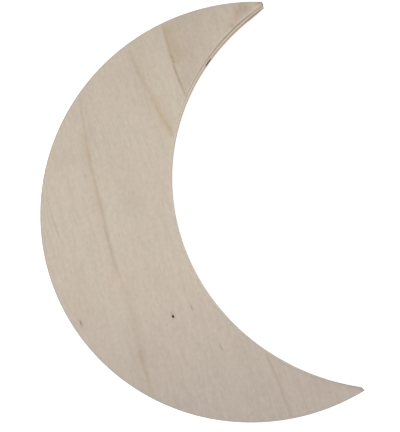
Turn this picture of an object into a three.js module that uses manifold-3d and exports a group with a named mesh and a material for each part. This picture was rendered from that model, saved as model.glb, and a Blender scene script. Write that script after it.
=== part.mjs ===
import * as THREE from 'three';
import { mergeVertices } from 'three/addons/utils/BufferGeometryUtils.js';
import Module from 'manifold-3d';

// Wooden moon cutout, sawn from a sheet of five-ply wood. All sizes are in millimetres.
// The moon lies on its back face. +Z comes out of the front face, +Y runs from the lower horn to the
// upper horn, and +X is the way that both horns point. The origin is under the middle of its outline.

// Outline of the moon, which is a disc with a round bite taken out of it
const outerRadius = 76.2;
const biteRadius = 76.2;
const biteOffset = 50.8;
const hornTipRadius = 0.16;

// Sanding and wear: the edges of both faces are just eased, and the front face's upper tip is worn
const easedEdge = 0.12;
const wornTipRadius = 0.31;

// Layers of the sheet. The back face was sanded down more than the front one.
const frontFaceThickness = 1.45;
const crossbandThickness = 1.35;
const coreThickness = 1.05;
const backFaceThickness = 0.75;
const glueThickness = 0.1;

// The rear crossband is two strips that don't quite meet. The upper one is measured down from the
// top of the moon, and the gap is below it.
const upperStripWidth = 18.5;
const coreGapWidth = 2.4;

// Pin hole that a tiny knot left in the front face, longer along the grain. It lies this far inside
// the outer curve, in this direction from the curve's middle, anticlockwise from +X.
const pinHoleWidth = 0.62;
const pinHoleLength = 0.95;
const pinHoleInset = 28.4;
const pinHoleDirection = THREE.MathUtils.degToRad(226.3);

// Smoothness of the curves, in flat steps
const outerSteps = 140;
const biteSteps = 90;
const tipSteps = 6;
const easedEdgeSteps = 2;
const pinHoleSteps = 16;

const wasm = await Module();
wasm.setup();

// Solid for cutting, from a closed geometry whose shared corners are merged
function solidFrom(geometry) {
  const bare = geometry.clone();
  bare.deleteAttribute('normal');
  bare.deleteAttribute('uv');
  const merged = mergeVertices(bare, 1e-5);
  return new wasm.Manifold(new wasm.Mesh({
    numProp: 3,
    vertProperties: new Float32Array(merged.attributes.position.array),
    triVerts: new Uint32Array(merged.index.array),
  }));
}

function geometryFrom(solid) {
  const { vertProperties, triVerts } = solid.getMesh();
  const shared = new THREE.BufferGeometry();
  shared.setAttribute('position', new THREE.BufferAttribute(vertProperties, 3));
  shared.setIndex(new THREE.BufferAttribute(triVerts, 1));
  const faceted = shared.toNonIndexed();
  faceted.computeVertexNormals();
  return faceted;
}

// Cutting block between two heights on the moon and two levels in its thickness, and wider than it
function block(lowY, highY, lowZ, highZ) {
  const geometry = new THREE.BoxGeometry(4 * outerRadius, highY - lowY, highZ - lowZ);
  geometry.translate(0, (lowY + highY) / 2, (lowZ + highZ) / 2);
  return solidFrom(geometry);
}

const farDown = -2 * outerRadius;
const farUp = 2 * outerRadius;

// Centre of the small circle that rounds the upper horn's tip. It touches the outer curve from
// inside and the bite from outside. The lower horn's is its mirror image.
function tipCentre(radius) {
  const fromMiddle = outerRadius - radius;
  const fromBite = biteRadius + radius;
  const x = (fromMiddle ** 2 - fromBite ** 2 + biteOffset ** 2) / (2 * biteOffset);
  return new THREE.Vector2(x, Math.sqrt(fromMiddle ** 2 - x ** 2));
}

// The moon is centred on the origin, which puts the middle of its outer curve to one side
const hornReach = tipCentre(hornTipRadius).x + hornTipRadius;
const middleX = (outerRadius - hornReach) / 2;

// Direction of one point as seen from another, from 0 to a full turn
function direction(from, to) {
  return to.clone().sub(from).angle();
}

function arcPoints(centre, radius, start, end, clockwise, steps) {
  const arc = new THREE.EllipseCurve(centre.x, centre.y, radius, radius, start, end, clockwise);
  return arc.getPoints(steps).slice(1);
}

// Outline, anticlockwise: the outer curve, the lower tip, back along the bite and the upper tip
function moonOutline(upperTipRadius) {
  const middle = new THREE.Vector2(0, 0);
  const biteCentre = new THREE.Vector2(biteOffset, 0);
  const upperTip = tipCentre(upperTipRadius);
  const lowerTip = tipCentre(hornTipRadius);
  lowerTip.y = -lowerTip.y;
  const outerStart = direction(middle, upperTip);
  const outerEnd = direction(middle, lowerTip);
  const biteStart = direction(biteCentre, lowerTip);
  const biteEnd = direction(biteCentre, upperTip);
  const lowerStart = outerEnd - 2 * Math.PI;
  const points = [
    ...arcPoints(middle, outerRadius, outerStart, outerEnd, false, outerSteps),
    ...arcPoints(lowerTip, hornTipRadius, lowerStart, biteStart - Math.PI, false, tipSteps),
    ...arcPoints(biteCentre, biteRadius, biteStart, biteEnd, true, biteSteps),
    ...arcPoints(upperTip, upperTipRadius, biteEnd - Math.PI, outerStart, false, tipSteps),
  ];
  for (const point of points) {
    point.x += middleX;
  }
  return new THREE.Shape(points);
}

const sawnOutline = moonOutline(hornTipRadius);
const wornOutline = moonOutline(Math.max(hornTipRadius, wornTipRadius));

// Inner layer of the sheet: the whole outline, sawn square through its thickness
function plainLayer(thickness) {
  return new THREE.ExtrudeGeometry(sawnOutline, { depth: thickness, bevelEnabled: false });
}

// Blank for an outer layer, twice as thick and eased along both faces, with its middle at level 0.
// The easing stays smaller than the horn tips, so that it can run round them.
function easedBlank(outline, thickness) {
  const easing = Math.min(easedEdge, 0.8 * hornTipRadius);
  const geometry = new THREE.ExtrudeGeometry(outline, {
    depth: 2 * (thickness - easing),
    bevelThickness: easing,
    bevelSize: easing,
    bevelOffset: -easing,
    bevelSegments: easedEdgeSteps,
  });
  geometry.translate(0, 0, easing - thickness);
  return solidFrom(geometry);
}

// Punch that goes right through the front face, with its length along the grain
function pinHole() {
  const fromMiddle = outerRadius - pinHoleInset;
  const x = middleX + fromMiddle * Math.cos(pinHoleDirection);
  const y = fromMiddle * Math.sin(pinHoleDirection);
  const rim = new THREE.Shape();
  rim.absellipse(x, y, pinHoleWidth / 2, pinHoleLength / 2, 0, 2 * Math.PI, false);
  const geometry = new THREE.ExtrudeGeometry(new THREE.Shape(rim.getPoints(pinHoleSteps / 2)), {
    depth: 3 * frontFaceThickness,
    bevelEnabled: false,
  });
  geometry.translate(0, 0, -frontFaceThickness);
  return solidFrom(geometry);
}

// The outer layers are halves of their blanks: the upper one for the front face, which has the pin
// hole, and the lower one for the back face, which is lifted to stand on level 0
function frontFaceVeneer() {
  const upperHalf = block(farDown, farUp, 0, 2 * frontFaceThickness);
  const face = easedBlank(wornOutline, frontFaceThickness).intersect(upperHalf);
  return geometryFrom(face.subtract(pinHole()));
}

function backFaceVeneer() {
  const lowerHalf = block(farDown, farUp, -2 * backFaceThickness, 0);
  const face = geometryFrom(easedBlank(sawnOutline, backFaceThickness).intersect(lowerHalf));
  face.translate(0, 0, backFaceThickness);
  return face;
}

// Strip of a crossband, between two heights on the moon
function crossbandStrip(lowY, highY) {
  const cut = block(lowY, highY, -crossbandThickness, 2 * crossbandThickness);
  return geometryFrom(solidFrom(plainLayer(crossbandThickness)).intersect(cut));
}

const upperStripStart = outerRadius - upperStripWidth;
const lowerStripEnd = upperStripStart - coreGapWidth;

// Finishes: the faces and the core are pale, and the crossbands show darker end grain
function paleVeneer() {
  return new THREE.MeshStandardMaterial({ color: 0xc3b6a7, roughness: 0.78, metalness: 0 });
}

function endGrain() {
  return new THREE.MeshStandardMaterial({ color: 0xa29689, roughness: 0.88, metalness: 0 });
}

function curedGlue() {
  return new THREE.MeshStandardMaterial({ color: 0x8a7661, roughness: 0.6, metalness: 0 });
}

// The sheet is laid up from the back face. Each call adds one layer, which may be several pieces.
const moon = new THREE.Group();
let level = 0;

function layUp(thickness, finish, pieces) {
  for (const [name, geometry] of Object.entries(pieces)) {
    const mesh = new THREE.Mesh(geometry, finish());
    mesh.name = name;
    mesh.position.z = level;
    moon.add(mesh);
  }
  level += thickness;
}

layUp(backFaceThickness, paleVeneer, { back_face_veneer: backFaceVeneer() });
layUp(glueThickness, curedGlue, { back_glue_film: plainLayer(glueThickness) });
layUp(crossbandThickness, endGrain, {
  rear_crossband_lower_strip: crossbandStrip(farDown, lowerStripEnd),
  rear_crossband_upper_strip: crossbandStrip(upperStripStart, farUp),
});
layUp(glueThickness, curedGlue, { rear_core_glue_film: plainLayer(glueThickness) });
layUp(coreThickness, paleVeneer, { core_veneer: plainLayer(coreThickness) });
layUp(glueThickness, curedGlue, { front_core_glue_film: plainLayer(glueThickness) });
layUp(crossbandThickness, endGrain, { front_crossband: plainLayer(crossbandThickness) });
layUp(glueThickness, curedGlue, { front_glue_film: plainLayer(glueThickness) });
layUp(frontFaceThickness, paleVeneer, { front_face_veneer: frontFaceVeneer() });

export default moon;
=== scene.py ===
# %% [markdown]
# # A wooden moon, sawn from five-ply board
#
# The real object is a crescent about 152 mm tall and 6.35 mm thick, sawn from a sheet of pale
# hardwood plywood and left bare. Five veneers lie in it with their grain crossed, and four brown
# films of cured glue hold them together, so its edge is striped.
#
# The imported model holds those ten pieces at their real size. This script gives each one a finer
# mesh and a finish made of shader nodes, then sets up the floor, the light and the camera.

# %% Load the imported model
import math

import bmesh
import bpy
from mathutils import Matrix, Vector, noise


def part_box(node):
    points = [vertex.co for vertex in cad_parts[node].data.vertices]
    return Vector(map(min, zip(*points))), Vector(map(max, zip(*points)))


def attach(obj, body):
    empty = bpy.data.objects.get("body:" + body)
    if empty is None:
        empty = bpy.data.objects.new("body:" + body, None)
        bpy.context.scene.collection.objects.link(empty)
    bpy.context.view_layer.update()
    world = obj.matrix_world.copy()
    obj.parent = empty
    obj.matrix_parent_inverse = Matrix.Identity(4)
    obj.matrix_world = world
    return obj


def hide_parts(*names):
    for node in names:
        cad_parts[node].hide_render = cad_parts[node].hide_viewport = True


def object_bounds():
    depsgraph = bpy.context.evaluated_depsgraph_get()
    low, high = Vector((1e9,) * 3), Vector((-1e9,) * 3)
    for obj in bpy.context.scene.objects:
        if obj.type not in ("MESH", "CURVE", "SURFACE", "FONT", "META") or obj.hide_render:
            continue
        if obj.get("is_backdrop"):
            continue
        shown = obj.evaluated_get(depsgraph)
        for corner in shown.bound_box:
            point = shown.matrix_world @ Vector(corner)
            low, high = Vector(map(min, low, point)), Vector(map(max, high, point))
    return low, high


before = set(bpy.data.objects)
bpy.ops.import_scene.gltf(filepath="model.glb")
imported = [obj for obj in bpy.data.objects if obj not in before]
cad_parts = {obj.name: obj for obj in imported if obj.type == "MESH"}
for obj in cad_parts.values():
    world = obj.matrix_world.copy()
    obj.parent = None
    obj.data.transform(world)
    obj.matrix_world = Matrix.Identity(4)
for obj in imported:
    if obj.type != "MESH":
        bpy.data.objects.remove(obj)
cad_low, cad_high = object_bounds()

print("packed model, from", tuple(cad_low), "to", tuple(cad_high))

# %% [markdown]
# ## Sizes
#
# A maker would draw this moon with compasses: a disc, and a second disc that bites a piece out of
# it. The first disc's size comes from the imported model, because half of the moon's height is its
# radius. The bite is as large, and its middle lies a third of the height to one side.

# %% Read the moon's sizes
MM = 0.001

outer_radius = (cad_high.y - cad_low.y) / 2
outer_middle = Vector((cad_low.x + outer_radius, 0.0, 0.0))
bite_radius = outer_radius
bite_offset = 50.8 * MM
bite_middle = outer_middle + Vector((bite_offset, 0.0, 0.0))
face_level = cad_high.z

print("outer radius", round(outer_radius / MM, 3), "mm, about", round(outer_middle.x / MM, 3))

# %% [markdown]
# ## Arithmetic on shader sockets
#
# A procedural wood is mostly arithmetic: distances, bands and fades. Wiring Math nodes one by one
# hides that, so a small class wraps a socket and lets Python's own operators add the nodes. Every
# other node comes from one method, which sets a node up and fills or links its sockets.

# %% Wrap sockets and node trees
class Signal:
    """A number, vector or colour that flows out of a shader node."""

    def __init__(self, maker, socket):
        self.maker = maker
        self.socket = socket

    def __add__(self, other):
        return self.maker.math("ADD", self, other)

    def __sub__(self, other):
        return self.maker.math("SUBTRACT", self, other)

    def __mul__(self, other):
        return self.maker.math("MULTIPLY", self, other)

    def __truediv__(self, other):
        return self.maker.math("DIVIDE", self, other)

    def __radd__(self, other):
        return self.maker.math("ADD", other, self)

    def __rsub__(self, other):
        return self.maker.math("SUBTRACT", other, self)

    def __rmul__(self, other):
        return self.maker.math("MULTIPLY", other, self)

    def __neg__(self):
        return self.maker.math("MULTIPLY", self, -1.0)

    def __abs__(self):
        return self.maker.math("ABSOLUTE", self)


class NodeMaker:
    """Adds nodes to one node tree."""

    def __init__(self, tree):
        self.tree = tree
        self.tree.nodes.clear()

    def node(self, kind, settings=None, sockets=None, output=0):
        made = self.tree.nodes.new(kind)
        for name, value in (settings or {}).items():
            setattr(made, name, value)
        for key, value in (sockets or {}).items():
            if isinstance(value, Signal):
                self.tree.links.new(value.socket, made.inputs[key])
            else:
                made.inputs[key].default_value = value
        return Signal(self, made.outputs[output]) if made.outputs else None

    def math(self, operation, *values):
        return self.node("ShaderNodeMath", {"operation": operation}, dict(enumerate(values)))

    def exponential(self, value):
        return self.math("EXPONENT", value)

    def smallest(self, first, second):
        return self.math("MINIMUM", first, second)

    def largest(self, first, second):
        return self.math("MAXIMUM", first, second)

    def ease(self, value, start, end):
        """Rises smoothly from 0 where value is at start to 1 where it is at end."""
        limits = {"Value": value, "From Min": start, "From Max": end}
        return self.node("ShaderNodeMapRange", {"interpolation_type": "SMOOTHSTEP"}, limits)

    def blend(self, share, below, above):
        """Lays the colour above over the one below, where share says how much of it shows."""
        sockets = {0: share, 6: below, 7: above}
        return self.node("ShaderNodeMix", {"data_type": "RGBA"}, sockets, output=2)

    def dim(self, colour, factor):
        """Makes a colour darker or lighter."""
        sockets = {0: colour, "Scale": factor}
        return self.node("ShaderNodeVectorMath", {"operation": "SCALE"}, sockets)


def paint(red, green, blue):
    """A colour as screens write it, from 0 to 255, turned into the linear one that nodes use."""
    # Screens follow a power curve, whose darkest stretch is a straight line
    straight_end, straight_slope = 0.04045, 12.92
    lift, power = 0.055, 2.4
    linear = []
    for level in (red, green, blue):
        share = level / 255
        if share <= straight_end:
            linear.append(share / straight_slope)
        else:
            linear.append(((share + lift) / (1 + lift)) ** power)
    return (*linear, 1.0)


# %% [markdown]
# ## What all the veneers share
#
# Wood is a bundle of fibres, so every pattern in it is drawn out along the grain. A solid texture
# does that by itself: noise is sampled at a point whose place along the grain is divided by a
# large number and whose place across it by a small one. On a face it shows as streaks, and where
# the saw crossed the fibres the same noise shows as end-grain specks, with no seam at the corner.
#
# The place is measured in millimetres, from the middle of the outer curve and down from the face.
# A second one is turned by a quarter for the crossbands, because their grain runs across the moon,
# and by a few degrees for the front veneer, whose fibres lean. A seed moves a noise far enough
# away that no two patterns match.

# %% Measure places in the wood
seed_direction = (1.0, 0.7, 0.3)
pore_rim = 0.22
pore_heart = 0.1


class Timber(NodeMaker):
    """A material of wood, whose grain runs along its own second axis."""

    def __init__(self, name, turn=0.0):
        self.material = bpy.data.materials.new(name)
        self.material.use_nodes = True
        super().__init__(self.material.node_tree)
        here = self.node("ShaderNodeTexCoord", output="Object")
        origin = (-outer_middle.x / MM, 0.0, -face_level / MM)
        per_mm = (1 / MM, 1 / MM, 1 / MM)
        measured = {"Vector": here, "Location": origin, "Scale": per_mm}
        self.place = self.node("ShaderNodeMapping", None, measured)
        self.x, self.y, self.z = self.split(self.place)
        turned = {"Vector": self.place, "Rotation": (0.0, 0.0, turn)}
        self.grain = self.node("ShaderNodeMapping", None, turned)

    def split(self, vector):
        """The three numbers of a vector."""
        parts = self.node("ShaderNodeSeparateXYZ", None, {0: vector})
        outputs = parts.socket.node.outputs
        return [Signal(self, outputs[axis]) for axis in ("X", "Y", "Z")]

    def drawn(self, across, along, seed=0.0):
        """The place in the wood, in grains that are this wide and this long."""
        sizes = (1 / across, 1 / along, 1 / across)
        shift = tuple(seed * part for part in seed_direction)
        sockets = {"Vector": self.grain, "Location": shift, "Scale": sizes}
        return self.node("ShaderNodeMapping", None, sockets)

    def streaks(self, across, along, seed=0.0, detail=2.0):
        """Noise in streaks of this size, from about -0.5 to 0.5."""
        sockets = {"Vector": self.drawn(across, along, seed), "Scale": 1.0, "Detail": detail}
        return self.node("ShaderNodeTexNoise", None, sockets) - 0.5

    def reach(self, x, y):
        """Distance in mm from an upright line through a point."""
        aside, up = self.x - x, self.y - y
        return self.math("SQRT", aside * aside + up * up)

    def pores(self, across, along, seed=0.0):
        """Vessels cut open: short thin dashes on a face, and dots where the grain ends."""
        sockets = {"Vector": self.drawn(across, along, seed), "Scale": 1.0}
        distance = self.node("ShaderNodeTexVoronoi", {"feature": "F1"}, sockets)
        return self.ease(distance, pore_rim, pore_heart)


# %% [markdown]
# The shine of bare, sanded wood is weak and broken up by the fibres. Its relief is a few hundredths
# of a millimetre, which only a bump can carry, and it is the same noise that colours the fibres,
# so that dark streaks lie low. The saw leaves one more mark: fine ridges that run straight through
# all the plies on the sawn edge, and on no face.

# %% Finish a wood
bare_wood_shine = 0.3
bare_wood_roughness = 0.72
fibre_gloss = 0.08
fibre_relief = 0.03 * MM
fibre_bump = 0.6
face_slope = 0.7
wall_slope = 0.3
ridge_width = 0.9
ridge_straightness = 0.05
ridge_shade = 0.10
ridge_relief = 0.8


def finish_timber(wood, colour, relief):
    """Gives a wood its shader, from its colour and from a height between about -1 and 1."""
    facing = wood.node("ShaderNodeTexCoord", output="Normal")
    flatness = abs(wood.split(facing)[2])
    on_edge = wood.ease(flatness, face_slope, wall_slope)
    sizes = (1 / ridge_width, 1 / ridge_width, ridge_straightness)
    ridge_place = wood.node("ShaderNodeMapping", None, {"Vector": wood.place, "Scale": sizes})
    ridges = wood.node("ShaderNodeTexNoise", None, {"Vector": ridge_place, "Scale": 1.0}) - 0.5
    colour = wood.dim(colour, 1.0 + on_edge * ridges * ridge_shade)
    height = relief + on_edge * ridges * ridge_relief
    bump = {"Strength": fibre_bump, "Distance": fibre_relief, "Height": height}
    sockets = {
        "Base Color": colour,
        "Roughness": bare_wood_roughness - relief * fibre_gloss,
        "Specular IOR Level": bare_wood_shine,
        "Normal": wood.node("ShaderNodeBump", None, bump),
    }
    shader = wood.node("ShaderNodeBsdfPrincipled", None, sockets)
    wood.node("ShaderNodeOutputMaterial", None, {"Surface": shader})
    return wood.material


# %% [markdown]
# ## The front face's veneer
#
# This is the surface that everyone looks at. It is a pale beige with very little contrast, so it is
# built up in thin layers, as a painter glazes a panel: the bare wood first, then the growth lines,
# the small marks, and last the grime along the rim. Each layer takes the colour below and returns
# its own. The colours are named once, because the layers share them.

# %% Name the front veneer's colours
pale = paint(202, 190, 173)
rosy = paint(205, 187, 173)
greying_and_painted_shade = paint(182, 169, 160)
honey = paint(189, 169, 137)
amber = paint(168, 142, 108)
umber = paint(144, 118, 84)
dusk = paint(160, 142, 122)
rust = paint(186, 150, 132)
mineral = paint(122, 108, 94)
bark = paint(52, 26, 10)
grime = paint(150, 158, 166)

# %% [markdown]
# Bare wood is fibres, a finer nap that the sanding raised, long strands, a soft mottle and a slow
# drift from board edge to board edge. Each is a noise of its own size, and together they only
# shift the brightness by a few parts in a hundred. Sliced vessels add short dark dashes. The wood
# turns greyer towards the lower horn. This is partly its own tone and partly painted shade of the
# light falling off there.

# %% Lay down the bare wood
blush_share = 0.35
shade_share = 0.7
shade_start = -8.0
shade_end = -84.0

# Width and length of a layer's streaks in mm, their seed and detail, and the change of brightness
front_layers = {
    "fibres": (0.7, 4.0, 1.3, 2.0, 0.16),
    "nap": (1.2, 1.5, 6.1, 2.0, 0.17),
    "strands": (1.7, 34.0, 5.7, 2.0, 0.11),
    "mottle": (5.0, 8.0, 8.2, 2.0, 0.05),
    "drift": (16.0, 30.0, 2.4, 2.0, 0.05),
}
pore_shade = 0.06
fibre_height = 1.2
nap_height = 0.8
pore_depth = 0.5


def bare_colour(wood):
    """Rosy in places, and greyer downwards: partly the wood's tone, partly painted shade."""
    blush = wood.streaks(11.0, 22.0, seed=9.7)
    colour = wood.blend(wood.ease(blush, -0.2, 0.2) * blush_share, pale, rosy)
    # Greyer downwards: partly the wood's own tone, partly painted shade where the light falls off
    return wood.blend(wood.ease(wood.y, shade_start, shade_end) * shade_share, colour, greying_and_painted_shade)


def layered_tone(wood, table, seed=0.0):
    """Brightness around 1, from all the layers of a table, and each layer by its name."""
    layers = {}
    tone = 1.0
    for name, (across, along, own_seed, detail, change) in table.items():
        layers[name] = wood.streaks(across, along, seed + own_seed, detail)
        tone = tone + layers[name] * change
    return tone, layers


def bare_tone(wood):
    """Brightness around 1, and the height of the fibres, which follows it."""
    tone, layers = layered_tone(wood, front_layers)
    pores = wood.pores(0.40, 2.2, seed=4.4)
    relief = layers["fibres"] * fibre_height + layers["nap"] * nap_height - pores * pore_depth
    return tone - pores * pore_shade, relief


# %% [markdown]
# A growth line shows where the knife that peeled the veneer crossed a ring of the tree. It is drawn
# from three points that it passes through, in millimetres from the middle of the outer curve. A
# parabola through them gives its place at any height, and the distance from it gives its shade: a
# dark core, and a honey glow that fades to both sides. One line changes along its way, from
# a crisp crack to a broad stain, so it is drawn in stretches that fade into each other.

# %% Draw a growth line
stretch_fade = 1.5


class GrowthLine:
    """One stretch of a growth line, through three points from top to bottom.

    The core and the glow are strengths. The width is that of the core, and left and right say how
    far the glow reaches, all in mm.
    """

    def __init__(self, points, stain, core, width, glow=0.0, left=1.0, right=1.0):
        self.points = points
        self.stain = stain
        self.core = core
        self.width = width
        self.glow = glow
        self.left = left
        self.right = right

    def parabola(self):
        """The three factors of the parabola through the points, for a height counted in mm."""
        (x0, y0), (x1, y1), (x2, y2) = self.points
        first = (x1 - x0) / (y1 - y0)
        second = ((x2 - x1) / (y2 - y1) - first) / (y2 - y0)
        return x0 - first * y0 + second * y0 * y1, first - second * (y0 + y1), second


def draw_line(wood, colour, line, wander, broken):
    """Lays one stretch over a colour. The wander bends it and the breaks thin it out."""
    base, slope, bend = line.parabola()
    top, bottom = line.points[0][1], line.points[-1][1]
    aside = wood.x + wander - (base + wood.y * (slope + wood.y * bend))
    below_top = wood.ease(wood.y, top + stretch_fade, top - stretch_fade)
    above_bottom = wood.ease(wood.y, bottom - stretch_fade, bottom + stretch_fade)
    present = below_top * above_bottom
    if line.glow:
        left = wood.smallest(aside, 0.0) / line.left
        right = wood.largest(aside, 0.0) / line.right
        colour = wood.blend(wood.exponential(left - right) * present * line.glow, colour, honey)
    near = aside / line.width
    core = wood.exponential(-(near * near)) * present * broken * line.core
    return wood.blend(core, colour, line.stain)


# %% [markdown]
# The photograph shows three long lines and two short ones. The first is a crack-like line near the
# upper horn, the second runs down to the bite with a broad glow, and the third crosses nearly the
# whole moon. It fades and comes back on its way down, which takes most of the stretches. The short
# ones cross the lower horn and follow the outer curve.

# %% List the growth lines
# Points, stain, core, width, glow, left and right
growth_lines = [
    GrowthLine([(-13.9, 73.4), (-13.7, 66.0), (-13.2, 57.5)], umber, 0.12, 0.6, 0.66, 0.3, 3.2),
    GrowthLine([(-13.2, 57.5), (-12.4, 51.0), (-10.8, 42.6)], umber, 0.36, 0.45, 0.26, 0.5, 1.8),
    GrowthLine([(-28.8, 68.0), (-26.5, 57.0), (-24.2, 48.0)], amber, 0.20, 0.8, 0.20, 2.0, 3.0),
    GrowthLine([(-24.2, 48.0), (-22.0, 39.5), (-18.6, 29.3)], amber, 0.16, 0.9, 0.42, 2.0, 3.0),
    GrowthLine([(-51.3, 54.0), (-51.7, 47.0), (-51.9, 40.0)], amber, 0.20, 0.6, 0.06, 1.5, 0.8),
    GrowthLine([(-51.9, 40.0), (-52.1, 34.0), (-52.0, 27.0)], umber, 0.12, 0.8, 0.34, 2.2, 0.8),
    GrowthLine([(-52.0, 27.0), (-51.7, 17.0), (-51.2, 8.0)], amber, 0.22, 0.8, 0.18, 1.4, 1.0),
    GrowthLine([(-51.2, 8.0), (-50.8, -3.0), (-49.9, -14.5)], dusk, 0.32, 0.7, 0.05, 1.5, 1.0),
    GrowthLine([(-49.9, -14.5), (-49.2, -18.0), (-48.2, -22.5)], amber, 0.22, 0.8, 0.16, 1.6, 1.6),
    GrowthLine([(-48.2, -22.5), (-47.2, -35.0), (-46.5, -48.0)], umber, 0.13, 1.6),
    GrowthLine([(-47.6, -44.0), (-46.6, -52.0), (-45.6, -59.0)], amber, 0.24, 0.6, 0.06, 0.8, 0.8),
    GrowthLine([(-4.0, -54.0), (-2.4, -61.6), (-0.6, -76.0)], dusk, 0.30, 0.6, 0.06, 0.7, 2.0),
    GrowthLine([(-71.4, 20.0), (-70.3, 10.0), (-69.1, 2.6)], dusk, 0.20, 0.4),
]
line_wander = 0.32
line_breaks = 2.0


def draw_lines(wood, colour):
    """Lays all the growth lines over a colour."""
    wander = wood.streaks(14.0, 22.0, seed=3.1) * line_wander
    broken = 1.0 + wood.streaks(3.0, 9.0, seed=6.6) * line_breaks
    for line in growth_lines:
        colour = draw_line(wood, colour, line, wander, broken)
    return colour


print("growth lines:", len(growth_lines), "stretches")

# %% [markdown]
# The marks are smaller. They are mineral flecks, a bark-brown dash, which is the tail of the knot
# that fell out, brown and rust patches on the upper horn, and a few broad, faint blushes. The last
# one is painted shade that darkens the wall of the pin hole. Each is a soft oval. Clouds are broad
# ovals that only change the brightness, and a negative one is a paler place.

# %% List the marks and the clouds
hole_place = (-33.02, -34.56)

# Tint, place, half width, half length, lean and strength
marks = [
    (mineral, -66.8, -29.6, 0.38, 1.1, -0.05, 0.66),
    (amber, -66.3, -30.8, 0.70, 1.2, -0.20, 0.16),
    (mineral, -25.7, -33.0, 0.28, 0.9, -0.08, 0.50),
    (mineral, -18.5, -48.6, 0.24, 1.4, -0.24, 0.42),
    (mineral, -54.9, 23.6, 0.50, 0.9, 0.10, 0.26),
    (umber, -13.0, 60.4, 0.45, 0.7, -0.2, 0.40),
    (umber, -12.7, 58.3, 0.40, 0.6, -0.2, 0.40),
    (bark, -33.35, -33.3, 0.26, 0.75, -0.24, 0.34),
    (mineral, 23.4, 71.7, 1.5, 0.45, 0.0, 0.36),
    (mineral, 24.5, 71.2, 0.40, 0.7, 0.0, 0.45),
    (mineral, 24.7, -71.3, 0.80, 0.4, 0.0, 0.45),
    (rust, 14.6, 69.6, 1.7, 4.2, 0.55, 0.42),
    (amber, 18.2, 71.0, 1.8, 1.6, 0.0, 0.32),
    (amber, 14.6, 71.0, 0.8, 2.4, -0.2, 0.24),
    (amber, 11.7, 66.1, 1.3, 0.9, 0.0, 0.24),
    (rosy, -6.5, 67.0, 2.2, 5.0, 0.0, 0.50),
    (rust, 11.0, -67.5, 8.0, 4.5, 0.0, 0.11),
    (rust, -7.5, 62.0, 2.6, 6.0, 0.0, 0.12),
    (rust, -49.0, 41.0, 1.4, 3.4, 0.0, 0.16),
    (rosy, -49.2, -17.8, 3.0, 2.4, 0.0, 0.60),
    # The last mark is painted shade, which darkens the pin hole's wall and rim
    (bark, *hole_place, 0.37, 0.54, 0.0, 1.0),
]

# Place, half width, half length and loss of brightness
clouds = [
    (-62.2, 31.5, 6.0, 3.0, 0.045),
    (-40.0, 9.5, 4.0, 5.0, 0.035),
    (-34.0, -2.0, 14.0, 34.0, 0.012),
    (-38.5, -6.0, 4.5, 6.0, 0.025),
    (-36.5, -18.0, 5.0, 7.0, 0.030),
    (-23.0, 58.0, 5.0, 8.0, 0.025),
    (-24.0, 68.0, 5.0, 5.0, 0.015),
    (-10.9, 62.0, 3.0, 3.0, 0.04),
    (17.0, 71.3, 4.0, 4.0, 0.05),
    (6.0, 71.0, 2.0, 5.0, 0.03),
    (-43.6, -32.0, 1.3, 9.0, -0.022),
    (-60.0, -40.0, 7.0, 7.0, -0.022),
]


def spot(wood, x, y, width, length, lean=0.0):
    """A soft oval, 1 in its middle, which stands upright or has its top leaning over."""
    up = wood.y - y
    aside = (wood.x - x - up * lean) / width
    along = up / length
    return wood.exponential(-(aside * aside + along * along))


def draw_marks(wood, colour):
    """Lays the marks over a colour."""
    for tint, x, y, width, length, lean, strength in marks:
        colour = wood.blend(spot(wood, x, y, width, length, lean) * strength, colour, tint)
    return colour


def cloud_tone(wood, tone):
    """Takes the clouds off a brightness."""
    for x, y, width, length, strength in clouds:
        tone = tone - spot(wood, x, y, width, length) * strength
    return tone


print("marks:", len(marks), "and clouds:", len(clouds))

# %% [markdown]
# Sanding dust and fingers leave a faint grey line along the rim of the face. It is drawn from the
# distance to the outer curve, and more weakly along the lower half of the bite. It stays within a
# third of a millimetre of the surface, so that the sawn edge below it is clean.

# %% Dust the rim
rim_dust = 0.34
rim_dust_width = 0.8
rim_dust_full = 0.05
bite_dust = 0.4
bite_dust_start = 20.0
bite_dust_end = 0.0
clean_level = -0.30
dusty_level = -0.05


def dust_rim(wood, colour):
    """Lays the dust over a colour."""
    from_outer = outer_radius / MM - wood.reach(0.0, 0.0)
    from_bite = wood.reach(bite_offset / MM, 0.0) - bite_radius / MM
    near_outer = wood.ease(from_outer, rim_dust_width, rim_dust_full)
    near_bite = wood.ease(from_bite, rim_dust_width, rim_dust_full)
    near_bite = near_bite * wood.ease(wood.y, bite_dust_start, bite_dust_end) * bite_dust
    on_face = wood.ease(wood.z, clean_level, dusty_level)
    return wood.blend(wood.largest(near_outer, near_bite) * on_face * rim_dust, colour, grime)


# %% [markdown]
# One more thing is broad: the wood to the right of the first growth line is duskier than the rest,
# less so in the horn. The line leans, so the test for its right side adds a part of the height.
# Then the layers are put together, from the bare wood to the dust.

# %% Mix the front veneer
fibre_lean = 0.10
dusk_share = 0.17
line_lean = 0.1
dusk_start = -8.6
dusk_full = -5.0
dusk_low = 20.0
dusk_high = 40.0
horn_start = -4.0
horn_full = 6.0
horn_relief = 0.6


def dusk_beyond_first_line(wood, colour):
    """Dulls the upper part of the wood, to the right of the first growth line."""
    right_of_line = wood.ease(wood.x + wood.y * line_lean, dusk_start, dusk_full)
    upper_part = wood.ease(wood.y, dusk_low, dusk_high)
    less_in_horn = 1.0 - wood.ease(wood.x, horn_start, horn_full) * horn_relief
    return wood.blend(right_of_line * upper_part * less_in_horn * dusk_share, colour, dusk)


def front_veneer():
    """The whole finish of the front face."""
    wood = Timber("front_veneer_wood", turn=-fibre_lean)
    colour = draw_lines(wood, bare_colour(wood))
    colour = draw_marks(wood, dusk_beyond_first_line(wood, colour))
    tone, relief = bare_tone(wood)
    colour = wood.dim(colour, cloud_tone(wood, tone))
    return finish_timber(wood, dust_rim(wood, colour), relief)


front_veneer_finish = front_veneer()
print("front veneer:", len(front_veneer_finish.node_tree.nodes), "nodes")
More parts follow.
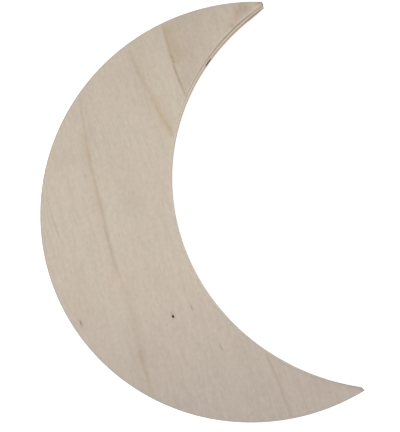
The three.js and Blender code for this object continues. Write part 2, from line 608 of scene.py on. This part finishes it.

# %% [markdown]
# ## The other veneers
#
# The back face and the core are cut from the same kind of wood, so they repeat the front veneer's
# fibres without its marks. The crossbands are darker towards the upper horn, where the photograph
# shows them well, and paler lower down. Towards the tips of the horns the core and the rear
# crossband turn greyer and darker, and the front crossband paler and rosier.

# %% Mix the plainer veneers
plain_layers = {
    "fibres": (0.38, 8.0, 1.3, 3.0, 0.16),
    "strands": (1.5, 30.0, 5.7, 2.0, 0.08),
    "mottle": (8.0, 14.0, 8.2, 2.0, 0.06),
}
plain_pore_shade = 0.12
plain_fibre_height = 1.4
strand_share = 0.25
crossband_strands = 0.5
tips_start = 14.0
tips_full = 22.0


def plain_veneer(name, seed, light, dark, turn=0.0, dark_between=None, tip=None):
    """A wood without marks, which may darken between two heights and be tinted at the tips."""
    wood = Timber(name, turn)
    tone, layers = layered_tone(wood, plain_layers, seed)
    pores = wood.pores(0.34, 2.4, seed + 4.4)
    share = wood.ease(layers["strands"], -0.1, 0.5) * strand_share
    if dark_between:
        low, high = dark_between
        share = wood.ease(wood.y, low, high) + share * crossband_strands
    colour = wood.blend(share, light, dark)
    if tip:
        tint, strength = tip
        colour = wood.blend(wood.ease(wood.x, tips_start, tips_full) * strength, colour, tint)
    relief = layers["fibres"] * plain_fibre_height - pores * pore_depth
    return finish_timber(wood, wood.dim(colour, tone - pores * plain_pore_shade), relief)


# The back face is paler: partly its own wood, partly painted light, the bounce from the white table
# that brightens its edge near the floor.
back_veneer_finish = plain_veneer(
    "back_veneer_wood", 11.0, paint(212, 200, 185), paint(196, 178, 153)
)
core_finish = plain_veneer(
    "core_wood", 23.0, paint(211, 199, 184), paint(195, 178, 155), tip=(mineral, 0.22)
)
front_crossband_finish = plain_veneer(
    "front_crossband_wood",
    37.0,
    paint(197, 185, 171),
    paint(152, 135, 117),
    turn=math.pi / 2,
    dark_between=(27.0, 76.0),
    tip=(rosy, 0.5),
)
rear_crossband_finish = plain_veneer(
    "rear_crossband_wood",
    51.0,
    paint(191, 181, 171),
    paint(170, 156, 143),
    turn=math.pi / 2,
    dark_between=(34.0, 74.0),
    tip=(mineral, 0.55),
)
print("plain veneers:", back_veneer_finish.name, core_finish.name)
print("crossbands:", front_crossband_finish.name, rear_crossband_finish.name)

# %% [markdown]
# ## The glue
#
# Cured veneer glue is a hard brown film, a tenth of a millimetre thick. On the edge it shows as a
# thin line, and in the core gap as a smooth brown floor and ceiling. Under the pin hole it is
# painted dark, as painted shade on the hole's floor.

# %% Mix the glue
thin_glue = paint(150, 130, 108)
thick_glue = paint(124, 103, 82)
painted_hole_shade = paint(44, 20, 6)
painted_hole_shade_width = 0.8
painted_hole_shade_length = 1.0
speck_shade = 0.2
glue_roughness = 0.5
glue_unevenness = 0.3
glue_shine = 0.05
glue_bump = 0.5


def cured_glue():
    """The finish of all four films."""
    glue = Timber("cured_glue_film")
    cloudy = glue.streaks(1.6, 2.4, seed=2.0, detail=3.0)
    specks = glue.streaks(0.25, 0.4, seed=9.0)
    colour = glue.blend(glue.ease(cloudy, -0.3, 0.3), thin_glue, thick_glue)
    # Painted shade: the glue under the pin hole is darkened, as the floor of the hole
    colour = glue.blend(spot(glue, *hole_place, painted_hole_shade_width, painted_hole_shade_length), colour, painted_hole_shade)
    bump = {"Strength": glue_bump, "Distance": fibre_relief, "Height": cloudy + specks}
    sockets = {
        "Base Color": glue.dim(colour, 1.0 + specks * speck_shade),
        "Roughness": glue_roughness + cloudy * glue_unevenness,
        "Specular IOR Level": glue_shine,
        "Normal": glue.node("ShaderNodeBump", None, bump),
    }
    shader = glue.node("ShaderNodeBsdfPrincipled", None, sockets)
    glue.node("ShaderNodeOutputMaterial", None, {"Surface": shader})
    return glue.material


glue_finish = cured_glue()
print("glue:", len(glue_finish.node_tree.nodes), "nodes")

# %% [markdown]
# ## Drawing the outline
#
# The outline could be a list of points, but a point swung round a middle is how it is really drawn,
# and bmesh's spin does just that. Four swings make it: the outer curve, the bite and a tiny circle
# at each horn, which stands for the wear of a sharp tip. The two long arcs have as many steps as
# each other, so that bridging them fills the moon with strips that run from one to the other.

# %% Swing arcs into a flat moon
arc_steps = 1200
tip_steps = 10
horn_tip_radius = 0.16 * MM
merge_distance = 0.0005 * MM
full_turn = 2 * math.pi
just_past = 1.01


def tip_middle(tip_radius):
    """Middle of the circle that rounds the upper horn, inside the disc and outside the bite."""
    from_outer = outer_radius - tip_radius
    from_bite = bite_radius + tip_radius
    x = (from_outer**2 - from_bite**2 + bite_offset**2) / (2 * bite_offset)
    return outer_middle + Vector((x, math.sqrt(from_outer**2 - x**2), 0.0))


def heading(start, end):
    """Direction from one point to another, anticlockwise from +X."""
    return math.atan2(end.y - start.y, end.x - start.x)


def swing(bm, middle, radius, start, turn, steps):
    """Swings a point round a middle and returns the edges of its path."""
    known = set(bm.edges)
    offset = Vector((radius * math.cos(start), radius * math.sin(start), 0.0))
    point = bmesh.ops.create_vert(bm, co=middle + offset)["vert"]
    bmesh.ops.spin(
        bm,
        geom=point,
        cent=middle,
        axis=(0, 0, 1),
        dvec=(0, 0, 0),
        angle=turn,
        steps=steps,
        use_merge=False,
        use_normal_flip=False,
        use_duplicate=False,
    )
    return [edge for edge in bm.edges if edge not in known]


def flat_moon(upper_tip_radius):
    """The moon as a sheet with no thickness, at level 0."""
    bm = bmesh.new()
    upper = tip_middle(upper_tip_radius)
    lower = tip_middle(horn_tip_radius)
    lower.y = -lower.y
    outer_start = heading(outer_middle, upper)
    outer_end = heading(outer_middle, lower)
    bite_start = heading(bite_middle, upper)
    bite_end = heading(bite_middle, lower)
    outer_turn = (outer_end - outer_start) % full_turn
    bite_turn = (bite_end - bite_start) % full_turn
    outer_arc = swing(bm, outer_middle, outer_radius, outer_start, outer_turn, arc_steps)
    bite_arc = swing(bm, bite_middle, bite_radius, bite_start, bite_turn, arc_steps)
    bmesh.ops.bridge_loops(bm, edges=outer_arc + bite_arc)
    upper_turn = -((outer_start - bite_start + math.pi) % full_turn)
    lower_turn = (bite_end - math.pi - outer_end) % full_turn
    swing(bm, upper, upper_tip_radius, outer_start, upper_turn, tip_steps)
    swing(bm, lower, horn_tip_radius, outer_end, lower_turn, tip_steps)
    bmesh.ops.remove_doubles(bm, verts=bm.verts, dist=merge_distance)
    for middle, radius in ((upper, upper_tip_radius), (lower, horn_tip_radius)):
        close = {vert for vert in bm.verts if (vert.co - middle).length < just_past * radius}
        rim = [edge for edge in bm.edges if close.issuperset(edge.verts)]
        bmesh.ops.contextual_create(bm, geom=rim)
    return bm


sample = flat_moon(horn_tip_radius)
area = sum(face.calc_area() for face in sample.faces)
print("flat moon:", len(sample.faces), "faces,", round(area / MM**2, 1), "square mm")
sample.free()

# %% [markdown]
# ## From a sheet to a ply
#
# Extruding the sheet gives the ply its thickness. The upright edges are then subdivided into rows,
# because the saw doesn't leave a mirror: it waves by a few hundredths of a millimetre and tears
# the fibres. The noise that moves the points is the same for all plies in its coarse part, since
# one saw cut them all, and differs in its fine part. It calms down towards the tips, which would
# be eaten away otherwise.

# %% Thicken and saw
easing_steps = 3
upright_normal = 0.5
upright_edge = 0.9
whole_wall = 0.8
saw_wave = 0.012 * MM
torn_fibre = 0.010 * MM
calm_length = 3 * MM
calm_depth = 0.15

# The noise is sampled in millimetres, so these are plain numbers
wave_length = 0.9
wave_straightness = 0.1
tear_length = 0.4


def thicken(bm, low, high):
    """Gives a flat sheet its thickness, between two levels."""
    bmesh.ops.translate(bm, verts=bm.verts, vec=(0.0, 0.0, low))
    grown = bmesh.ops.extrude_face_region(bm, geom=bm.faces[:])["geom"]
    lifted = [item for item in grown if isinstance(item, bmesh.types.BMVert)]
    bmesh.ops.translate(bm, verts=lifted, vec=(0.0, 0.0, high - low))
    bmesh.ops.recalc_face_normals(bm, faces=bm.faces)
    bm.normal_update()


def ease_rim(bm, level, easing):
    """Takes the sharp corner off the sawn edge at one level, as a pass of sandpaper does."""
    rim = []
    for edge in bm.edges:
        flat = all(abs(vert.co.z - level) < merge_distance for vert in edge.verts)
        if flat and any(abs(face.normal.z) < upright_normal for face in edge.link_faces):
            rim.append(edge)
    bmesh.ops.bevel(
        bm,
        geom=rim,
        offset=easing,
        offset_type="OFFSET",
        affect="EDGES",
        segments=easing_steps,
        profile=0.5,
        material=-1,
        clamp_overlap=False,
    )


def add_rows(bm, rows):
    """Splits the upright edges of the sawn wall."""
    upright = []
    for edge in bm.edges:
        rise = abs(edge.verts[0].co.z - edge.verts[1].co.z)
        if rise > upright_edge * edge.calc_length():
            upright.append(edge)
    tallest = max(edge.calc_length() for edge in upright)
    walls = [edge for edge in upright if edge.calc_length() > whole_wall * tallest]
    if rows > 1:
        bmesh.ops.subdivide_edges(bm, edges=walls, cuts=rows - 1)


def into_the_wood(point):
    """Level direction from the nearest sawn edge into the moon."""
    flat = Vector((point.x, point.y, 0.0))
    from_outer = flat - outer_middle
    from_bite = flat - bite_middle
    tip = tip_middle(horn_tip_radius)
    if flat.x > tip.x:
        return (Vector((tip.x, math.copysign(tip.y, flat.y), 0.0)) - flat).normalized()
    if abs(from_outer.length - outer_radius) < abs(from_bite.length - bite_radius):
        return -from_outer.normalized()
    return from_bite.normalized()


def saw(bm, setback, seed):
    """Sets the sawn edge back and roughens it. Nothing ever moves outwards."""
    tip_x = tip_middle(horn_tip_radius).x
    for vert in bm.verts:
        place = vert.co / MM
        waves = (place.x / wave_length, place.y / wave_length, place.z * wave_straightness)
        tears = (place.x / tear_length, place.y / tear_length, place.z / tear_length + seed)
        wave = noise.noise(Vector(waves))
        tear = noise.noise(Vector(tears))
        depth = setback + saw_wave * (1 + wave) + torn_fibre * (1 + tear)
        from_tip = min(1.0, max(0.0, (tip_x - vert.co.x) / calm_length))
        vert.co += into_the_wood(vert.co) * depth * (calm_depth + (1 - calm_depth) * from_tip)


# %% [markdown]
# Seen from the front, the wall of the upper horn gets narrower over its last few millimetres. Under
# the tip the rearmost plies have splintered away, which a saw does to the side that it leaves
# last. A slanting plane cuts them. The mesh is first parted where the splinter starts, so that the
# plane reaches only the horn. Cutting leaves loose edges, which go before the cut is filled.

# %% Splinter the rear of the upper tip
splinter_height = 1.65 * MM
splinter_length = 6.0 * MM


def splinter_tip(bm):
    """Cuts the rear corner off the upper horn and closes the piece."""
    tip = tip_middle(horn_tip_radius)
    horn_start = tip.y - splinter_length
    bmesh.ops.bisect_plane(
        bm,
        geom=bm.verts[:] + bm.edges[:] + bm.faces[:],
        dist=merge_distance,
        plane_co=(0.0, horn_start, 0.0),
        plane_no=(0.0, 1.0, 0.0),
    )
    horn = [face for face in bm.faces if face.calc_center_median().y > horn_start]
    edges = {edge for face in horn for edge in face.edges}
    verts = {vert for face in horn for vert in face.verts}
    bmesh.ops.bisect_plane(
        bm,
        geom=list(verts) + list(edges) + horn,
        dist=merge_distance,
        plane_co=(tip.x + horn_tip_radius, tip.y, splinter_height),
        plane_no=(splinter_height, 0.0, -splinter_length),
        clear_outer=True,
    )
    bmesh.ops.remove_doubles(bm, verts=bm.verts, dist=merge_distance)
    loose = [edge for edge in bm.edges if edge.is_wire]
    bmesh.ops.delete(bm, geom=loose, context="EDGES")
    rim = [edge for edge in bm.edges if edge.is_boundary]
    bmesh.ops.holes_fill(bm, edges=rim, sides=0)


# %% [markdown]
# A finished piece keeps its object at the origin, with its place in its mesh. Curved walls are
# shaded smooth, and the angle test keeps every real corner crisp. Each piece is also tested for
# open edges, because a board has no inside to look into.

# %% Hand a piece over
corner_angle = math.radians(32)


def mesh_object(name, bm):
    """Turns a bmesh into an object at the origin."""
    mesh = bpy.data.meshes.new(name)
    bmesh.ops.remove_doubles(bm, verts=bm.verts, dist=merge_distance)
    bmesh.ops.recalc_face_normals(bm, faces=bm.faces)
    bm.to_mesh(mesh)
    bm.free()
    piece = bpy.data.objects.new(name, mesh)
    bpy.context.scene.collection.objects.link(piece)
    return piece


def hand_over(piece, node, material):
    """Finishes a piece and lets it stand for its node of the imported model."""
    piece.data.shade_smooth()
    piece.data.set_sharp_from_angle(angle=corner_angle)
    piece.data.materials.clear()
    piece.data.materials.append(material)
    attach(piece, "root")
    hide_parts(node)
    check = bmesh.new()
    check.from_mesh(piece.data)
    closed = all(edge.is_manifold for edge in check.edges)
    volume = check.calc_volume() / MM**3
    triangles = sum(len(face.verts) - 2 for face in check.faces)
    check.free()
    print(piece.name, "closed" if closed else "OPEN", round(volume, 1), "cubic mm,", triangles)


# %% [markdown]
# ## The inner plies and the glue
#
# These four films and two whole plies are plain: a sheet, thickened and sawn. The brittle films
# are set back most, so that each shows as a fine dark line between two plies. The end grain of
# the crossbands comes next, and the long grain of the faces and the core stands out.

# %% Build the inner plies
sheet_rows = 6
film_rows = 1
glue_setback = 0.045 * MM
ply_setback = 0.004 * MM
crossband_setback = 0.022 * MM
crossband_tip_radius = 0.21 * MM
first_film_seed = 20.0


def levels(node):
    """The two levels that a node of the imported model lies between."""
    low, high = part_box(node)
    return low.z, high.z


def build_ply(name, node, material, setback, seed, rows, tip_radius=horn_tip_radius):
    """Builds one whole layer of the board, apart from the faces."""
    bm = flat_moon(tip_radius)
    thicken(bm, *levels(node))
    add_rows(bm, rows)
    splinter_tip(bm)
    saw(bm, setback, seed)
    hand_over(mesh_object(name, bm), node, material)


build_ply("core_ply", "core_veneer", core_finish, ply_setback, 4.0, sheet_rows)
build_ply(
    "front_crossband_ply",
    "front_crossband",
    front_crossband_finish,
    crossband_setback,
    8.0,
    sheet_rows,
    crossband_tip_radius,
)
films = ["back_glue_film", "rear_core_glue_film", "front_core_glue_film", "front_glue_film"]
for number, film in enumerate(films):
    line = film.replace("_film", "_line")
    seed = first_film_seed + number
    build_ply(line, film, glue_finish, glue_setback, seed, film_rows)

# %% [markdown]
# ## The split crossband
#
# The rear crossband was laid as two strips that don't quite meet, and the gap shows on the edge as
# a dark slot. Cutting the flat sheet with a plane before it is thickened gives each strip its end,
# and a coarser noise than the saw's makes that end ragged, because it was torn and not sawn.

# %% Build the two strips
rag_depth = 0.05 * MM
fray_depth = 0.02 * MM

# Sizes in the noise, in millimetres
rag_width = 2.5
rag_height = 0.5
fray_width = 0.5
fray_height = 0.2
fray_seed = 7


def build_strip(name, node, above, seed):
    """Builds the part of the rear crossband that lies above or below the gap."""
    low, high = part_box(node)
    cut_y = low.y if above else high.y
    side = 1.0 if above else -1.0
    bm = flat_moon(horn_tip_radius)
    bmesh.ops.bisect_plane(
        bm,
        geom=bm.verts[:] + bm.edges[:] + bm.faces[:],
        dist=merge_distance,
        plane_co=(0.0, cut_y, 0.0),
        plane_no=(0.0, side, 0.0),
        clear_inner=True,
    )
    thicken(bm, low.z, high.z)
    add_rows(bm, sheet_rows)
    splinter_tip(bm)
    end = [vert for vert in bm.verts if abs(vert.co.y - cut_y) < merge_distance]
    saw(bm, crossband_setback, seed)
    for vert in end:
        place = vert.co / MM
        rag = noise.noise(Vector((place.x / rag_width, seed, place.z / rag_height)))
        fray = noise.noise(Vector((place.x / fray_width, seed + fray_seed, place.z / fray_height)))
        vert.co.y += side * (rag_depth * (1 + rag) + fray_depth * (1 + fray))
    hand_over(mesh_object(name, bm), node, rear_crossband_finish)


build_strip("rear_crossband_upper_ply", "rear_crossband_upper_strip", True, 12.0)
build_strip("rear_crossband_lower_ply", "rear_crossband_lower_strip", False, 14.0)

# %% [markdown]
# ## The faces
#
# Both faces have the rim on their outer side eased by sandpaper. The front one's upper tip is worn
# rounder than the plies behind it, which therefore peep out under it.

# %% Build the back face
face_easing = 0.09 * MM


def build_face(name, node, eased_level, seed, tip_radius):
    """Builds an outer layer, with its rim eased at one of its levels."""
    bm = flat_moon(tip_radius)
    thicken(bm, *levels(node))
    ease_rim(bm, eased_level, face_easing)
    add_rows(bm, sheet_rows)
    splinter_tip(bm)
    saw(bm, ply_setback, seed)
    return mesh_object(name, bm)


back_level = levels("back_face_veneer")[0]
back_face = build_face("back_face_ply", "back_face_veneer", back_level, 1.0, horn_tip_radius)
hand_over(back_face, "back_face_veneer", back_veneer_finish)

# %% [markdown]
# ## The pin hole
#
# A tiny knot fell out of the front veneer and left a hole, longer along the grain. A plug of that
# shape, flared at the top and uneven, cuts it with a Boolean modifier, which is applied at once.
# The glue film under the veneer is then the hole's floor.

# %% Cut the pin hole in the front face
worn_tip_radius = 0.31 * MM
hole_middle = outer_middle + Vector((hole_place[0] * MM, hole_place[1] * MM, 0.0))
hole_width = 0.62 * MM
hole_length = 0.95 * MM
hole_flare = 0.10 * MM
flare_depth = 0.15 * MM
hole_roughness = 0.035 * MM
hole_tightness = 0.02 * MM
hole_bumps_per_mm = (4, 2, 3)
plug_sides = 28
plug_rows = 12
plug_radius = 0.5
plug_excess = 0.3 * MM


def knot_plug(low, high):
    """The shape of the knot, a little longer than the hole between two levels."""
    bm = bmesh.new()
    bmesh.ops.create_cone(
        bm,
        cap_ends=True,
        cap_tris=False,
        segments=plug_sides,
        radius1=plug_radius,
        radius2=plug_radius,
        depth=high - low + 2 * plug_excess,
    )
    add_rows(bm, plug_rows)
    bmesh.ops.scale(bm, verts=bm.verts, vec=(hole_width, hole_length, 1.0))
    bmesh.ops.translate(bm, verts=bm.verts, vec=hole_middle + Vector((0, 0, (low + high) / 2)))
    for vert in bm.verts:
        out = Vector((vert.co.x - hole_middle.x, vert.co.y - hole_middle.y, 0.0))
        under = max(high - vert.co.z, 0.0)
        bumps = [part / MM * count for part, count in zip(vert.co, hole_bumps_per_mm)]
        rough = noise.noise(Vector(bumps))
        flare = hole_flare * math.exp(-under / flare_depth)
        vert.co += out.normalized() * (flare + rough * hole_roughness - hole_tightness)
    return mesh_object("knot_plug", bm)


def cut_with(piece, plug):
    """Takes the plug's shape out of a piece and removes the plug."""
    modifier = piece.modifiers.new("pin_hole", "BOOLEAN")
    modifier.operation = "DIFFERENCE"
    modifier.solver = "EXACT"
    modifier.object = plug
    evaluated = piece.evaluated_get(bpy.context.evaluated_depsgraph_get())
    cut = bpy.data.meshes.new_from_object(evaluated)
    piece.modifiers.clear()
    piece.data = cut
    bpy.data.objects.remove(plug)


hole_floor, hole_top = levels("front_face_veneer")
front_face = build_face("front_face_ply", "front_face_veneer", hole_top, 2.0, worn_tip_radius)
cut_with(front_face, knot_plug(hole_floor, hole_top))
hand_over(front_face, "front_face_veneer", front_veneer_finish)

# %% [markdown]
# ## The floor
#
# The moon lies on a white table. A white that is only diffuse would render grey wherever the light
# is soft, so the floor also glows a little, but only to the camera and in reflections and seen
# through glass. Its share of real, shaded white keeps the moon's shadow. It lies a twentieth of a
# millimetre below the moon, so that no two surfaces share a level.

# %% Lay the floor
table_white = (0.82, 0.82, 0.82, 1.0)
table_glow = 0.55
table_squares = 8
table_half_width = 6.0
table_gap = 0.05 * MM


def glow_to_camera(maker):
    """1 for a ray from the camera, a reflection or a ray through glass, and 0 for other light."""
    path = maker.node("ShaderNodeLightPath")
    outputs = path.socket.node.outputs
    seen = Signal(maker, outputs["Is Camera Ray"])
    for name in ("Is Glossy Ray", "Is Transmission Ray"):
        seen = maker.largest(seen, Signal(maker, outputs[name]))
    return seen


def white_table():
    """The finish of the floor."""
    material = bpy.data.materials.new("white_table")
    material.use_nodes = True
    maker = NodeMaker(material.node_tree)
    matt = maker.node("ShaderNodeBsdfDiffuse", None, {"Color": table_white})
    strength = glow_to_camera(maker) * table_glow
    glow = maker.node("ShaderNodeEmission", None, {"Strength": strength})
    both = maker.node("ShaderNodeAddShader", None, {0: matt, 1: glow})
    maker.node("ShaderNodeOutputMaterial", None, {"Surface": both})
    return material


floor_bm = bmesh.new()
bmesh.ops.create_grid(
    floor_bm, x_segments=table_squares, y_segments=table_squares, size=table_half_width
)
bmesh.ops.translate(floor_bm, verts=floor_bm.verts, vec=(0.0, 0.0, -table_gap))
floor = mesh_object("table_top", floor_bm)
floor.data.materials.append(white_table())
floor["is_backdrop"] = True

# %% [markdown]
# ## The light
#
# The photograph has the even light of a studio: hardly a shadow, and a slow falloff towards the
# lower horn. A white world gives the evenness, and a broad lamp above the left edge gives the
# direction. Two lamps low on the right light the sawn wall inside the bite: a strong one on the
# lower horn's side, and a weak one on the upper horn's.

# %% Set the lamps
def area_lamp(name, place, target, size, power):
    """A square white soft box. Its size and the places are in millimetres, its power in watts."""
    light = bpy.data.lights.new(name, "AREA")
    light.shape = "SQUARE"
    light.size = size * MM
    light.energy = power
    lamp = bpy.data.objects.new(name, light)
    lamp.location = Vector(place) * MM
    aim = Vector(target) * MM - lamp.location
    lamp.rotation_euler = aim.to_track_quat("-Z", "Y").to_euler()
    bpy.context.scene.collection.objects.link(lamp)


world_level = 0.528
world = bpy.data.worlds.new("studio")
world.use_nodes = True
bpy.context.scene.world = world
sky = NodeMaker(world.node_tree)
white_sky = {
    "Color": paint(255, 255, 255),
    "Strength": glow_to_camera(sky) * (1.0 - world_level) + world_level,
}
background = sky.node("ShaderNodeBackground", None, white_sky)
sky.node("ShaderNodeOutputWorld", None, {"Surface": background})

area_lamp("key_lamp", (-140, 40, 300), (0, 0, 0), 200, 0.415)
area_lamp("edge_lamp", (330, -210, 90), (0, 20, 0), 220, 0.74)
area_lamp("far_lamp", (220, 290, 80), (0, 0, 0), 200, 0.08)

# %% [markdown]
# ## The camera
#
# The picture was taken from close above, a little below the middle of the moon, with the camera
# turned so that the moon leans. The eye's place and the point that it looks at are in millimetres
# in the model's own frame, and the turn is the angle of the picture's upright on the table. All of
# them were solved together with the outline, so that it falls where the photograph has it.

# %% Place the camera
eye_place = Vector((33.14, -37.47, 206.39)) * MM
aim_place = Vector((9.74, -1.76, 6.35)) * MM
picture_turn = math.radians(12.52)
focal_length = 47.24
sensor_width = 36.0
nearest = 0.01
farthest = 30.0

lens = bpy.data.cameras.new("view")
lens.lens = focal_length
lens.sensor_width = sensor_width
lens.clip_start = nearest
lens.clip_end = farthest
camera = bpy.data.objects.new("view", lens)
bpy.context.scene.collection.objects.link(camera)
forward = (aim_place - eye_place).normalized()
upright = Vector((math.sin(picture_turn), math.cos(picture_turn), 0.0))
right = forward.cross(upright).normalized()
up = right.cross(forward)
turned = Matrix((right, up, -forward)).transposed()
camera.matrix_world = Matrix.Translation(eye_place) @ turned.to_4x4()
bpy.context.scene.camera = camera
bpy.context.scene.view_settings.view_transform = "Standard"
print("camera looks along", tuple(round(part, 3) for part in forward))

# %% Compare the boxes and finish
new_low, new_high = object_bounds()
corners = (cad_low, new_low, new_high, cad_high)
for axis, letter in enumerate("XYZ"):
    print(letter, [round(corner[axis] / MM, 3) for corner in corners])
